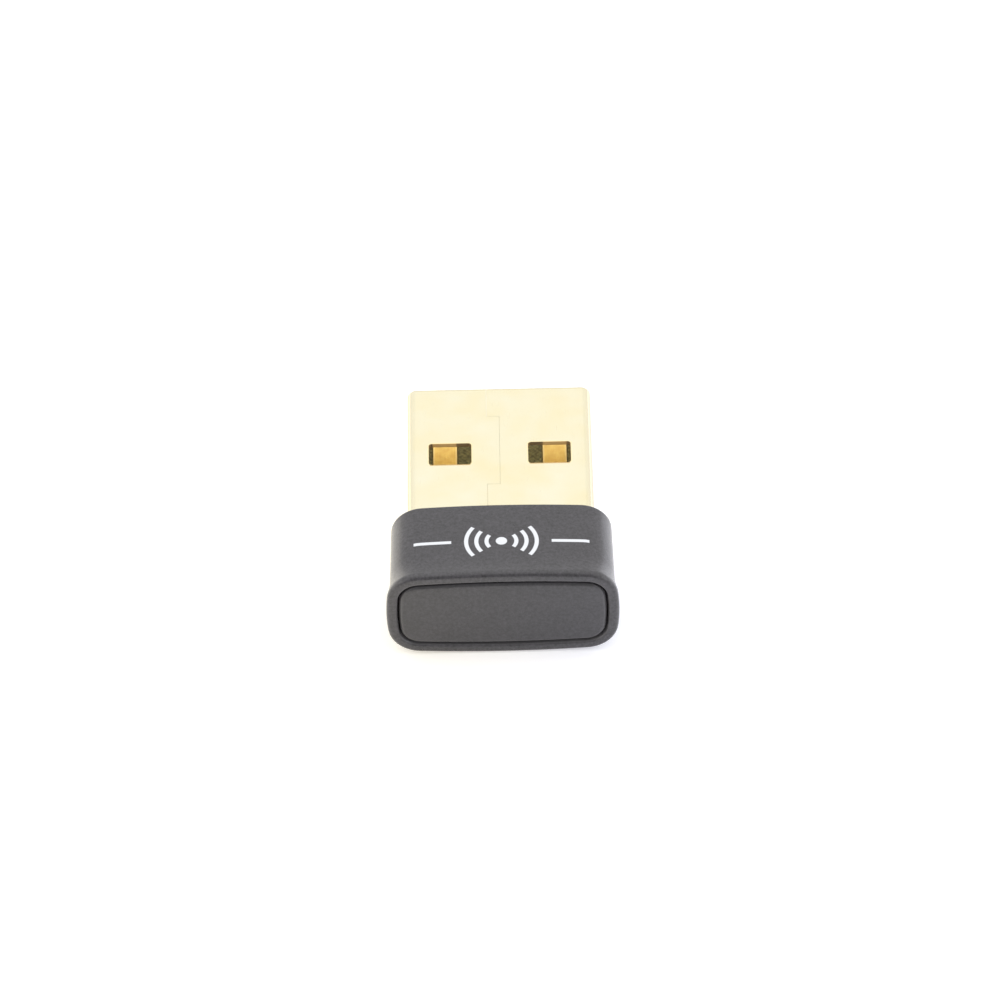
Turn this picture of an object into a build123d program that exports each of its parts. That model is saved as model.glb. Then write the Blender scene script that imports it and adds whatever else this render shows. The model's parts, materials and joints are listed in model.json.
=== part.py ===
from build123d import *
from math import sqrt
import os

# A nano size USB-A radio adapter, in millimetres, with +Z up and +Y towards the plug's tip.
# The origin is the centre of the housing's shoulder face, on the plug's axis.

# Plug shell, a folded sheet
shell_width = 12.0
shell_height = 4.5
shell_reach = 12.0          # from the shoulder face to the tip
sheet = 0.3
shell_corner = 0.6          # outside radius of the four folds
tip_round = 0.26            # on the outer edge of the mouth
seam_gap = 0.05
seam_tab_depth = 0.83       # how far the seam's interlocking tab steps sideways
seam_tab_near = 2.7         # the tab's two ends, from the shoulder
seam_tab_far = 9.2

# Latch windows in the shell's top and bottom
window_width = 2.75
window_length = 2.0
window_corner = 0.2
window_pitch = 6.45         # between the two windows' centres
window_setback = 6.37       # of their centres, from the tip

# Side windows that lock the shell to the carrier, inside the housing
lock_window = 1.0
lock_centre = -0.9
lock_height = 0.7           # the lock's centre, below the plug's axis

# Housing
housing_length = 7.1
side_wall = 1.12            # round the plug, at the shoulder
top_wall = 0.75
back_straight = 0.3         # the body's straight start, before it tapers
side_taper = 0.016          # growth of each half with the distance from the shoulder
top_taper = 0.035
flare = 0.2                 # extra growth of each half at the rim
flare_length = 1.9
rim_straight = 0.42         # the rim's own length, past the flare
crown_radius = 100.0        # bow of the top and the bottom
side_bow_radius = 15.0
housing_corner = 2.1
back_edge_round = 0.2
rim_edge_round = 0.28
bore_clearance = 0.03       # round the shell
bore_length = 2.0
shell_end_gap = 0.02        # between the bore's end and the shell's
cavity_step = 0.3           # the cavity is this much wider than the plug, each side
flare_sections = 3

# End cap
rim_width = 0.7
panel_gap = 0.12
panel_recess = 0.03
panel_thickness = 1.0
panel_edge_round = 0.2
rim_inner_chamfer = 0.12
skirt_depth = 1.4
skirt_wall = 0.6
skirt_corner = 0.2          # inside
cap_clearance = 0.05
snap_length = 5.0
snap_radius = 0.3
snap_height = 0.13
snap_setback = 0.85         # behind the panel's inner face
post_width = 0.75
post_height = 3.2
rest_width = 0.8
rest_spread = 7.0
rest_length = 0.8
end_gap = 0.05              # between the posts and the carrier

# Carrier
carrier_clearance = 0.05    # inside the shell
carrier_tip_setback = 0.3
carrier_nose = 0.4
carrier_nose_round = 0.3
floor_thickness = 0.25
carrier_wall = 0.3
rail_width = 0.4
flange_thickness = 0.8
flange_clearance = 0.05     # inside the cavity
lock_bump = 0.22
lock_slack = 0.1
window_margin = 0.25        # of the carrier's openings round the latch windows
front_rib = 0.4             # in front of and behind the component bay
peg_radius = 0.28
peg_place = 4.0
overrun = 1.0               # of a cut, past what it cuts

# Circuit board
board_thickness = 0.6
board_slack = 0.04
tail_gap = 0.47             # between the board's end and the panel
post_gap = 0.3              # between the board's tail and the posts beside it

# Contacts and aerial
contact_thickness = 0.05
contact_corner = 0.15
contact_back = 3.6          # their inner ends, from the shoulder
power_contact_width = 1.55
power_contact_setback = 1.0     # of the outer ends, from the tip
power_contact_place = 3.58
data_contact_width = 1.2
data_contact_setback = 2.0
data_contact_place = 1.0
aerial_margin = 0.45        # from the tail's sides
aerial_depth = 1.7
aerial_leg = 0.95           # of the two legs, past the arm
aerial_trace = 0.3
aerial_turns = 5
aerial_edge = 0.35          # from the board's end

# Components: length, width and height
radio_size = (4.0, 4.0, 0.8)
radio_terminals = 7
radio_terminal = (0.4, 0.3, 0.03)
radio_place = 1.5           # the radio chip's centre, from the shoulder
part_gap = 0.25             # between neighbouring components
dimple_radius = 0.2         # the mark beside a chip's first terminal
dimple_depth = 0.05
dimple_inset = 0.45
chip_chamfer = 0.05
memory_size = (1.5, 2.0, 0.6)
memory_terminals = 4
memory_terminal = (0.35, 0.3, 0.03)
crystal_size = (1.6, 2.0, 0.5)
crystal_lid_inset = 0.15
crystal_lid_height = 0.2
crystal_place = 1.8
small_chip = (1.0, 0.5, 0.5)
medium_chip = (1.6, 0.8, 0.6)
inductor_size = (2.0, 1.6, 0.9)
chip_end = 0.25             # share of a chip component's length taken by each metal end
chip_bulge = 0.02           # of the metal ends
gull_body = (2.0, 1.25, 0.9)
gull_lead_pitch = 0.65
gull_lead_width = 0.24
gull_lead_thickness = 0.12
gull_reach = 0.42
gull_standoff = 0.08
gull_chamfer = 0.1
protector_gap = 1.0         # behind the contacts
regulator_margin = 1.6      # from the board's side to its centre
regulator_place = -0.3
ferrite_margin = 1.9
ferrite_place = 1.9
supply_gap = 0.67           # between the latch windows and the row of supply capacitors
supply_pitch = 1.4
resistor_margin = 1.0       # from the bay's side to their centres
supply_count = 4
feed_gap = 0.1              # between the aerial's legs and the row that feeds it
feed_places = (-1.4, 0.6, 2.4)

# Levels that follow from the sizes
window_centre = shell_reach - window_setback
shell_end = -bore_length + shell_end_gap
inside_width = shell_width - 2 * sheet
inside_height = shell_height - 2 * sheet
rim_start = housing_length - rim_straight
back_half_width = shell_width / 2 + side_wall
back_half_height = shell_height / 2 + top_wall
cavity_width = shell_width + 2 * cavity_step
cavity_height = shell_height + 2 * bore_clearance
cavity_corner = shell_corner + bore_clearance
taper_length = rim_start - back_straight
rim_half_width = back_half_width + side_taper * taper_length + flare
rim_half_height = back_half_height + top_taper * taper_length + flare
ledge = -housing_length + panel_recess + panel_thickness
carrier_half_width = inside_width / 2 - carrier_clearance
carrier_bottom = -inside_height / 2 + carrier_clearance
carrier_front = shell_reach - carrier_tip_setback
flange_back = -bore_length - flange_thickness
flange_half_width = cavity_width / 2 - flange_clearance
board_half_width = carrier_half_width - carrier_wall - board_slack
board_front = carrier_front - carrier_nose - board_slack
bay_half_width = board_half_width - rail_width
bay_front = board_front - front_rib
board_end = ledge + tail_gap
tail_half_width = cavity_width / 2 - cap_clearance - post_width - post_gap
aerial_far = board_end + aerial_edge
aerial_near = aerial_far + aerial_depth


def section_plane(y):
    # a plane across the plug's axis, facing away from the tip, with its own y along +Z
    return Plane.XZ.offset(-y)


def sagitta(half_chord, radius):
    return radius - sqrt(radius**2 - half_chord**2)


def span_box(x_range, y_range, z_range):
    # a box from its lower and upper limits along each axis
    low = Vector(x_range[0], y_range[0], z_range[0])
    high = Vector(x_range[1], y_range[1], z_range[1])
    size = high - low
    return Pos(*((low + high) * 0.5)) * Box(size.X, size.Y, size.Z)


def round_tube(width, height, corner, y_range):
    # a straight bar of rounded rectangular section along the plug's axis
    profile = section_plane(y_range[1]) * RectangleRounded(width, height, corner)
    return extrude(profile, amount=y_range[1] - y_range[0])


def bowed_outline(half_width, half_height, corner):
    # a rounded rectangle whose four sides are shallow arcs
    corner_x = half_width - sagitta(half_height, side_bow_radius)
    corner_z = half_height - sagitta(half_width, crown_radius)
    top = ThreePointArc((-corner_x, corner_z), (0, half_height), (corner_x, corner_z))
    right = ThreePointArc((corner_x, corner_z), (half_width, 0), (corner_x, -corner_z))
    bottom = ThreePointArc((corner_x, -corner_z), (0, -half_height), (-corner_x, -corner_z))
    left = ThreePointArc((-corner_x, -corner_z), (-half_width, 0), (-corner_x, corner_z))
    outline = make_face([top, right, bottom, left])
    return fillet(outline.vertices(), corner)


def rim_outline(inset):
    # the rim's outline, moved inwards
    return bowed_outline(rim_half_width - inset, rim_half_height - inset, housing_corner - inset)


def housing_section(distance):
    # the housing's outline at a distance behind the shoulder face
    into_flare = max(0.0, distance - rim_start + flare_length) / flare_length
    growth = flare * into_flare**2
    tapered = distance - back_straight
    half_width = back_half_width + side_taper * tapered + growth
    half_height = back_half_height + top_taper * tapered + growth
    return section_plane(-distance) * bowed_outline(half_width, half_height, housing_corner)


def outer_edges_at(part, y):
    # the edges of the flat end face at y, its outer loop only
    end_face = part.faces().filter_by(Axis.Y).filter_by_position(Axis.Y, y - 0.001, y + 0.001)
    return end_face.sort_by(SortBy.AREA)[-1].outer_wire().edges()


def housing_blank():
    # a short straight back, a straight taper, the flare that it runs into, and the rim's straight edge
    flare_start = rim_start - flare_length
    steps = [flare_length * step / (flare_sections - 1) for step in range(flare_sections)]
    back = extrude(housing_section(back_straight), amount=-back_straight)
    back = fillet(outer_edges_at(back, 0), back_edge_round)
    body = back + loft([housing_section(back_straight), housing_section(flare_start)])
    body += loft([housing_section(flare_start + step) for step in steps])
    rim = extrude(section_plane(-rim_start) * rim_outline(0), amount=rim_straight)
    rim = fillet(outer_edges_at(rim, -housing_length), rim_edge_round)
    return body + rim


def snap_bars(extra):
    # two round bars, above and below, that the cap's beads and the housing's grooves share
    skirt_half_height = cavity_height / 2 - cap_clearance
    centre_z = skirt_half_height + snap_height - snap_radius
    bar = Rot(0, 90, 0) * Cylinder(snap_radius + extra, snap_length + 2 * extra)
    place = ledge + snap_setback
    return [Pos(0, place, sign * centre_z) * bar for sign in (-1, 1)]


def housing():
    body = housing_blank()
    opening = section_plane(ledge) * rim_outline(rim_width)
    body -= extrude(opening, amount=housing_length + ledge)
    inner_edge = body.faces().sort_by(Axis.Y)[0].inner_wires()[0].edges()
    body = chamfer(inner_edge, rim_inner_chamfer)
    bore_width = shell_width + 2 * bore_clearance
    bore_height = shell_height + 2 * bore_clearance
    body -= round_tube(bore_width, bore_height, shell_corner + bore_clearance, (-bore_length, 0))
    body -= round_tube(cavity_width, cavity_height, cavity_corner, (ledge, -bore_length))
    for groove in snap_bars(cap_clearance):
        body -= groove
    return body


def end_cap():
    front = -housing_length + panel_recess
    outline = section_plane(ledge) * rim_outline(rim_width + panel_gap)
    panel = extrude(outline, amount=panel_thickness)
    panel = fillet(outer_edges_at(panel, front), panel_edge_round)
    skirt_width = cavity_width - 2 * cap_clearance
    skirt_height = cavity_height - 2 * cap_clearance
    skirt_end = ledge + skirt_depth
    skirt = round_tube(skirt_width, skirt_height, cavity_corner - cap_clearance, (ledge, skirt_end))
    skirt -= round_tube(skirt_width - 2 * skirt_wall, skirt_height - 2 * skirt_wall,
                        skirt_corner, (ledge, skirt_end))
    cap = panel + skirt
    for bead in snap_bars(0):
        cap += bead
    return cap + clamp_posts(skirt_width, skirt_end) + board_rests(skirt_height)


def clamp_posts(skirt_width, skirt_end):
    # two posts at the sides that press the carrier's flange against the step in the housing
    outer = skirt_width / 2
    return [span_box(sorted((side * outer, side * (outer - post_width))),
                     (skirt_end - skirt_depth, flange_back - end_gap),
                     (-post_height / 2, post_height / 2)) for side in (-1, 1)]


def board_rests(skirt_height):
    # ribs above and below the board's end, which lies in the slot between them
    inner = skirt_height / 2 - skirt_wall / 2
    reach = (ledge, board_end + rest_length)
    rests = []
    for side in (-1, 1):
        x_range = (side * rest_spread / 2 - rest_width / 2, side * rest_spread / 2 + rest_width / 2)
        rests.append(span_box(x_range, reach, (board_slack + contact_thickness, inner)))
        rests.append(span_box(x_range, reach, (-inner, -board_thickness - board_slack)))
    return rests


def latch_windows(margin, z_range):
    # the pair of rounded openings, as solids that cut through a height range
    profile = RectangleRounded(window_width + 2 * margin, window_length + 2 * margin, window_corner)
    height = z_range[1] - z_range[0]
    return [Pos(side * window_pitch / 2, window_centre, z_range[0]) * extrude(profile, amount=height)
            for side in (-1, 1)]


def seam_cut():
    # the line where the folded sheet's edges meet, stepping sideways round the interlocking tab
    shift = -seam_tab_depth
    route = Polyline((shift, shell_end - overrun), (shift, seam_tab_near), (0, seam_tab_near),
                     (0, seam_tab_far), (shift, seam_tab_far), (shift, shell_reach + overrun))
    return Pos(0, 0, inside_height / 2 - sheet) * extrude(trace(route, seam_gap), amount=3 * sheet)


def plug_shell():
    outer = round_tube(shell_width, shell_height, shell_corner, (shell_end, shell_reach))
    outer = fillet(outer_edges_at(outer, shell_reach), tip_round)
    shell = outer - round_tube(inside_width, inside_height, shell_corner - sheet,
                               (shell_end, shell_reach))
    for window in latch_windows(0, (-shell_height, shell_height)):
        shell -= window
    lock = Box(2 * shell_width, lock_window, lock_window)
    shell -= Pos(0, lock_centre, -lock_height) * lock
    return shell - seam_cut()


def round_lower_edges(bar, radius):
    # rounds the two lower edges that run along the plug's axis
    return fillet(bar.edges().filter_by(Axis.Y).group_by(Axis.Z)[0], radius)


def board_carrier():
    tray = span_box((-carrier_half_width, carrier_half_width), (-bore_length, carrier_front),
                    (carrier_bottom, 0))
    tray = round_lower_edges(tray, shell_corner - sheet)
    nose_edge = tray.edges().filter_by(Axis.X).group_by(Axis.Y)[-1].sort_by(Axis.Z)[-1]
    tray = fillet(nose_edge, carrier_nose_round)
    flange_bottom = -cavity_height / 2 + flange_clearance
    flange = span_box((-flange_half_width, flange_half_width), (flange_back, -bore_length),
                      (flange_bottom, 0))
    tray += round_lower_edges(flange, cavity_corner)
    pocket_half_width = board_half_width + board_slack
    tray -= span_box((-pocket_half_width, pocket_half_width),
                     (flange_back - overrun, board_front + board_slack),
                     (-board_thickness, overrun))
    bay_floor = carrier_bottom + floor_thickness
    tray -= span_box((-bay_half_width, bay_half_width), (-bore_length + front_rib, bay_front),
                     (bay_floor, 0))
    for opening in latch_windows(window_margin, (carrier_bottom - overrun, bay_floor)):
        tray -= opening
    for side in (-1, 1):
        tray += lock_snap(side)
        tray += Pos(side * pocket_half_width, peg_place, -board_thickness / 2) * Cylinder(
            peg_radius, board_thickness)
    return tray & span_box((-flange_half_width, flange_half_width), (flange_back, carrier_front),
                           (flange_bottom, 0))


def lock_snap(side):
    # a bump on the carrier's side that clicks into the shell's side window
    size = lock_window - 2 * lock_slack
    wedge = Polyline((0, -size / 2), (lock_bump, -size / 2), (lock_bump, size / 6), (0, size / 2),
                     close=True)
    bump = extrude(make_face(wedge), amount=size / 2, both=True)
    if side < 0:
        bump = mirror(bump, Plane.YZ)
    return Pos(side * carrier_half_width, lock_centre, -lock_height) * bump


def circuit_board():
    board = span_box((-board_half_width, board_half_width), (flange_back + end_gap, board_front),
                     (-board_thickness, 0))
    board += span_box((-tail_half_width, tail_half_width), (board_end, flange_back + end_gap),
                      (-board_thickness, 0))
    for side in (-1, 1):
        notch = Cylinder(peg_radius + board_slack, 3 * board_thickness)
        board -= Pos(side * (board_half_width + board_slack), peg_place, 0) * notch
    return board


def contact(place, width, setback):
    length = shell_reach - setback - contact_back
    profile = Pos(place, contact_back + length / 2) * RectangleRounded(width, length, contact_corner)
    return extrude(profile, amount=contact_thickness)


def printed_antenna():
    # a feed leg, a ground leg beside it, and a square wave arm along the board's end
    step = (tail_half_width - aerial_margin) / aerial_turns
    left = -tail_half_width + aerial_margin + step
    leg_end = aerial_near + aerial_leg
    points = [(left, leg_end), (left, aerial_far)]
    for turn in range(1, 2 * aerial_turns):
        x = left + turn * step
        levels = (aerial_far, aerial_near) if turn % 2 else (aerial_near, aerial_far)
        points += [(x, levels[0]), (x, levels[1])]
    arm = trace(Polyline(*points), aerial_trace)
    ground_route = Polyline((left - step, leg_end), (left - step, aerial_far), (left, aerial_far))
    return extrude(arm + trace(ground_route, aerial_trace), amount=contact_thickness)


def terminal_row(count, body, terminal):
    # the flat terminals along the body's two long sides, as centres and sizes
    pitch = body[1] / (count + 0.5)
    places = [(row - (count - 1) / 2) * pitch for row in range(count)]
    reach = body[0] / 2 - terminal[0] / 2
    return [Pos(side * reach, place, terminal[2] / 2) * Box(terminal[0], terminal[1], terminal[2])
            for side in (-1, 1) for place in places]


def leadless_chip(body, count, terminal, four_sided):
    # a flat moulded package on its terminals, with a dimple that marks its first one
    lift = terminal[2]
    chip = Pos(0, 0, lift) * Box(*body, align=(Align.CENTER, Align.CENTER, Align.MIN))
    chip = chamfer(chip.faces().sort_by(Axis.Z)[-1].edges(), chip_chamfer)
    dimple = Cylinder(dimple_radius, 2 * dimple_depth)
    chip -= Pos(dimple_inset - body[0] / 2, body[1] / 2 - dimple_inset, lift + body[2]) * dimple
    for pad in terminal_row(count, body, terminal):
        chip += pad
        if four_sided:
            chip += Rot(0, 0, 90) * pad
    return chip


def chip_component(size):
    # a ceramic block with a metal cap on each end
    length, width, height = size
    end = length * chip_end
    align_up = (Align.CENTER, Align.CENTER, Align.MIN)
    block = Pos(0, 0, chip_bulge) * Box(length - end, width - 2 * chip_bulge,
                                        height - 2 * chip_bulge, align=align_up)
    for side in (-1, 1):
        block += Pos(side * (length - end) / 2, 0, 0) * Box(end, width, height, align=align_up)
    return block


def crystal():
    # a ceramic tray with a metal lid
    length, width, height = crystal_size
    align_up = (Align.CENTER, Align.CENTER, Align.MIN)
    tray = Box(length, width, height - crystal_lid_height, align=align_up)
    lid = Box(length - 2 * crystal_lid_inset, width - 2 * crystal_lid_inset, crystal_lid_height,
              align=align_up)
    return tray + Pos(0, 0, height - crystal_lid_height) * lid


def gull_lead(side):
    # one bent lead: foot, riser and shoulder
    half = gull_body[1] / 2
    level = gull_standoff + gull_body[2] / 2
    t = gull_lead_thickness
    route = Polyline((side * (half + gull_reach), 0, t / 2), (side * (half + t), 0, t / 2),
                     (side * (half + t), 0, level), (side * (half - t), 0, level))
    return extrude(trace_in_xz(route, t), amount=gull_lead_width / 2, both=True)


def trace_in_xz(route, width):
    # a strip of the given width along a route that lies in the XZ plane
    flat = Rot(-90, 0, 0) * route
    return Rot(90, 0, 0) * trace(flat, width)


def leaded_chip(lead_places):
    # a small moulded package whose leads stand at the given side and place
    length, width, height = gull_body
    body = Pos(0, 0, gull_standoff) * Box(width, length, height,
                                          align=(Align.CENTER, Align.CENTER, Align.MIN))
    body = chamfer(body.edges().filter_by(Axis.Z), gull_chamfer)
    for side, place in lead_places:
        body += Pos(0, place * gull_lead_pitch, 0) * gull_lead(side)
    return body


def on_top(part, x, y, turn=0):
    return Pos(x, y, 0) * Rot(0, 0, turn) * part


def underneath(part, x, y, turn=0):
    return Pos(x, y, -board_thickness) * Rot(180, 0, turn) * part


def contacts():
    power = (power_contact_width, power_contact_setback)
    data = (data_contact_width, data_contact_setback)
    return {
        "ground_contact": contact(power_contact_place, *power),
        "data_plus_contact": contact(data_contact_place, *data),
        "data_minus_contact": contact(-data_contact_place, *data),
        "power_contact": contact(-power_contact_place, *power),
    }


def components():
    six_leads = [(side, place) for side in (-1, 1) for place in (-1, 0, 1)]
    five_leads = [lead for lead in six_leads if lead != (1, 0)]
    protector_depth = gull_body[1] + 2 * gull_reach
    protector_place = contact_back - protector_gap - protector_depth / 2
    feed_row = aerial_near + aerial_leg + feed_gap + medium_chip[1] / 2
    memory_x = part_gap + memory_size[0] / 2 - bay_half_width
    crystal_x = bay_half_width - part_gap - crystal_size[0] / 2
    resistor_x = bay_half_width - resistor_margin
    supply_row = window_centre + window_length / 2 + supply_gap
    inductor_row = supply_row + (small_chip[0] + inductor_size[1]) / 2 + part_gap
    parts = {
        "radio_chip": underneath(
            leadless_chip(radio_size, radio_terminals, radio_terminal, True), 0, radio_place),
        "memory_chip": underneath(
            leadless_chip(memory_size, memory_terminals, memory_terminal, False),
            memory_x, radio_place),
        "crystal": underneath(crystal(), crystal_x, crystal_place),
        "power_inductor": underneath(chip_component(inductor_size), 0, inductor_row),
        "surge_protector": on_top(leaded_chip(six_leads), 0, protector_place, 90),
        "voltage_regulator": on_top(
            leaded_chip(five_leads), regulator_margin - board_half_width, regulator_place),
        "ferrite_bead": on_top(
            chip_component(medium_chip), board_half_width - ferrite_margin, ferrite_place, 90),
        "match_inductor": on_top(chip_component(small_chip), feed_places[0], feed_row),
        "band_pass_filter": on_top(chip_component(medium_chip), feed_places[1], feed_row),
        "match_capacitor": on_top(chip_component(small_chip), feed_places[2], feed_row, 90),
        "pull_up_resistor": underneath(
            chip_component(small_chip), -resistor_x, inductor_row, 90),
        "bias_resistor": underneath(chip_component(small_chip), resistor_x, inductor_row, 90),
    }
    beside_crystal = (crystal_size[1] + small_chip[1]) / 2 + part_gap
    for number, side in enumerate((-1, 1), start=1):
        place = crystal_place + side * beside_crystal
        parts[f"crystal_capacitor_{number}"] = underneath(
            chip_component(small_chip), crystal_x, place)
    for number in range(1, supply_count + 1):
        place = (number - (supply_count + 1) / 2) * supply_pitch
        parts[f"supply_capacitor_{number}"] = underneath(
            chip_component(small_chip), place, supply_row, 90)
    return parts


def all_parts():
    return {
        "housing": housing(),
        "end_cap": end_cap(),
        "plug_shell": plug_shell(),
        "board_carrier": board_carrier(),
        "circuit_board": circuit_board(),
        "printed_antenna": printed_antenna(),
        **contacts(),
        **components(),
    }


os.makedirs("parts", exist_ok=True)
for name, solid in all_parts().items():
    export_step(solid, f"parts/{name}.step")
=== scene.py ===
import json
import math
import bmesh
import bpy
import numpy as np
from mathutils import Matrix, Vector


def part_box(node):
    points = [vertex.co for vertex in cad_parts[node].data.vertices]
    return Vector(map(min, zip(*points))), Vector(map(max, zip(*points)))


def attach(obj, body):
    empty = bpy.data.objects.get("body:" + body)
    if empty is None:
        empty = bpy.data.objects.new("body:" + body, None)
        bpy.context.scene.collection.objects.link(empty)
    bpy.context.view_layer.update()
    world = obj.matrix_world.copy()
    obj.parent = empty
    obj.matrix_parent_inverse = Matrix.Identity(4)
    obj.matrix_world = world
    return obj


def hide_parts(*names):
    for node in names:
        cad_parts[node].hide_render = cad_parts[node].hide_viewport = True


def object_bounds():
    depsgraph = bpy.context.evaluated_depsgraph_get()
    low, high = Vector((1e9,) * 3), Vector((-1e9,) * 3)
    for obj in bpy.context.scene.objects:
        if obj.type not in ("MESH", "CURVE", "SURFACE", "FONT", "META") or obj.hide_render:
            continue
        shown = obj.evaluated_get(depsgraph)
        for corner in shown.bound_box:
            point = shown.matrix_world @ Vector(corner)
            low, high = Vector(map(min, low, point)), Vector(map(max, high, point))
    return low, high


# A nano USB radio adapter, lying flat: its plug points to +Y and its end panel faces -Y.
# Sizes in the dictionaries are millimetres, and millimetre turns them into metres.
millimetre = 0.001
# how finely the surfaces are divided: a quarter ring's crown, corner and side, a rounded edge's quarter
# turn, and the housing's taper and flare
steps = {"crown": 20, "corner": 14, "side": 12, "edge": 7, "taper": 8, "flare": 12}
# a ring this far from an edge keeps the smooth shading of one face off the next
support = 0.02
# two grid lines of the plug's sheet closer than this are the same line
tolerance = 1e-5
# points of a mesh closer than this, in metres, become one
mergeReach = 1e-7

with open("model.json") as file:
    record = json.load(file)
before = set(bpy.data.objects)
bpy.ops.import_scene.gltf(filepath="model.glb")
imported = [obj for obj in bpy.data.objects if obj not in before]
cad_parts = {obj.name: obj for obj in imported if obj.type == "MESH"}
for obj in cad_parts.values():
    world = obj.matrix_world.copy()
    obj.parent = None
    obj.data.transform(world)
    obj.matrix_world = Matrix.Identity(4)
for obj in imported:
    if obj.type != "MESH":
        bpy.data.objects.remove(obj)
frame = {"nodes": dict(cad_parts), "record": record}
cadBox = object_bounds()
print("stage 1: frame loaded,", len(frame["nodes"]), "nodes")


# shader maths
class Wire:
    # a shader socket that takes part in Python expressions, each of which adds Math nodes
    def __init__(self, finish, socket):
        self.finish = finish
        self.socket = socket

    def maths(self, operation, *values, clamp=False):
        sockets = dict(enumerate(values))
        return self.finish.add("ShaderNodeMath", {"operation": operation, "use_clamp": clamp}, sockets)

    def __add__(self, other):
        return self.maths("ADD", self, other)

    def __sub__(self, other):
        return self.maths("SUBTRACT", self, other)

    def __rsub__(self, other):
        return self.maths("SUBTRACT", other, self)

    def __mul__(self, other):
        return self.maths("MULTIPLY", self, other)

    def __truediv__(self, other):
        return self.maths("DIVIDE", self, other)

    def __pow__(self, other):
        return self.maths("POWER", self, other)

    def __abs__(self):
        return self.maths("ABSOLUTE", self)

    __radd__ = __add__
    __rmul__ = __mul__

    def clamped(self):
        return self.maths("ADD", self, 0.0, clamp=True)

    def sine(self, wavelength):
        # a wave of the given length along this value, from -1 to 1
        return self.maths("SINE", self * (2 * math.pi / wavelength))

    def least(self, other):
        return self.maths("MINIMUM", self, other)

    def most(self, other):
        return self.maths("MAXIMUM", self, other)


class Nodes:
    # a node tree that is filled by one method
    def __init__(self, tree):
        self.tree = tree

    def add(self, kind, settings, sockets, out=0):
        # a node of any type: its settings first, then a value or a wire for each socket
        node = self.tree.nodes.new(kind)
        for key, value in settings.items():
            setattr(node, key, value)
        for key, value in sockets.items():
            self.join(value, node.inputs[key])
        return Wire(self, node.outputs[out])

    def join(self, value, socket):
        # a wire is linked to the socket, and a colour or a number is set on it
        if isinstance(value, Wire):
            self.tree.links.new(value.socket, socket)
        elif socket.type == "RGBA" and len(value) == 3:
            socket.default_value = (*value, 1.0)
        else:
            socket.default_value = value


class Finish(Nodes):
    # one material: its node tree, its coordinates in millimetres, and its shader
    def __init__(self, name):
        self.material = bpy.data.materials.new(name)
        self.material.use_nodes = True
        super().__init__(self.material.node_tree)
        self.shader = self.tree.nodes["Principled BSDF"]
        place = self.add("ShaderNodeTexCoord", {}, {}, "Object")
        self.place = self.add("ShaderNodeVectorMath", {"operation": "SCALE"},
                              {0: place, "Scale": 1 / millimetre}, "Vector")
        self.x, self.y, self.z = (self.add("ShaderNodeSeparateXYZ", {}, {0: self.place}, axis)
                                  for axis in "XYZ")

    def noise(self, size, detail=2.0, stretch=(1.0, 1.0, 1.0), roughness=0.5):
        # soft blotches of about the given size in millimetres, drawn out along each axis by stretch
        place = self.add("ShaderNodeVectorMath", {"operation": "DIVIDE"},
                         {0: self.place, 1: stretch}, "Vector")
        sockets = {"Vector": place, "Scale": 1 / size, "Detail": detail, "Roughness": roughness}
        return self.add("ShaderNodeTexNoise", {}, sockets, 0)

    def blend(self, share, first, second):
        # first + (second - first) * share
        return self.add("ShaderNodeMix", {"data_type": "RGBA"}, {0: share, 6: first, 7: second}, 2)

    def step(self, value, edge, width):
        # 0 below the edge and 1 above it, over the given width
        return ((value - edge) / width + 0.5).clamped()

    def spread(self, value, contrast):
        # a noise's narrow range about one half stretched to 0 to 1
        return ((value - 0.5) * contrast + 0.5).clamped()

    def bump(self, height, depth, normal=None):
        # depth is in millimetres, for a height that goes from 0 to 1
        sockets = {"Height": height, "Distance": depth * millimetre, "Strength": 1.0}
        if normal is not None:
            sockets["Normal"] = normal
        return self.add("ShaderNodeBump", {}, sockets, "Normal")

    def finish(self, **sockets):
        # fills the shader's sockets, whose names are given in camelCase
        names = {socket.name.replace(" ", "").lower(): socket for socket in self.shader.inputs}
        for key, value in sockets.items():
            self.join(value, names[key.lower()])
        return self.material


def roundedDistance(first, second, half, corner):
    # how far a place lies outside a rounded rectangle round 0, less than 0 inside it: the length of the
    # part that runs past the rectangle of corner centres, less the corner radius
    overFirst = (abs(first) - (half[0] - corner)).most(0.0)
    overSecond = (abs(second) - (half[1] - corner)).most(0.0)
    return (overFirst * overFirst + overSecond * overSecond)**0.5 - corner


# meshes
def makePiece(name, points, faces, material, outward=True):
    # an object at the origin from points in millimetres, with its doubles merged and its faces outward
    mesh = bpy.data.meshes.new(name)
    mesh.from_pydata((points * millimetre).tolist(), [], faces)
    shape = bmesh.new()
    shape.from_mesh(mesh)
    bmesh.ops.remove_doubles(shape, verts=shape.verts, dist=mergeReach)
    unused = [corner for corner in shape.verts if not corner.link_faces]
    bmesh.ops.delete(shape, geom=unused, context="VERTS")
    if outward:
        bmesh.ops.recalc_face_normals(shape, faces=shape.faces)
    shape.to_mesh(mesh)
    shape.free()
    mesh.shade_smooth()
    mesh.materials.append(material)
    piece = bpy.data.objects.new(name, mesh)
    bpy.context.scene.collection.objects.link(piece)
    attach(piece, "root")
    return piece


def sagitta(halfChord, radius):
    # an arc's height over its chord: the radius less the distance from the arc's centre to the chord
    return radius - np.sqrt(radius**2 - halfChord**2)


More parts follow.
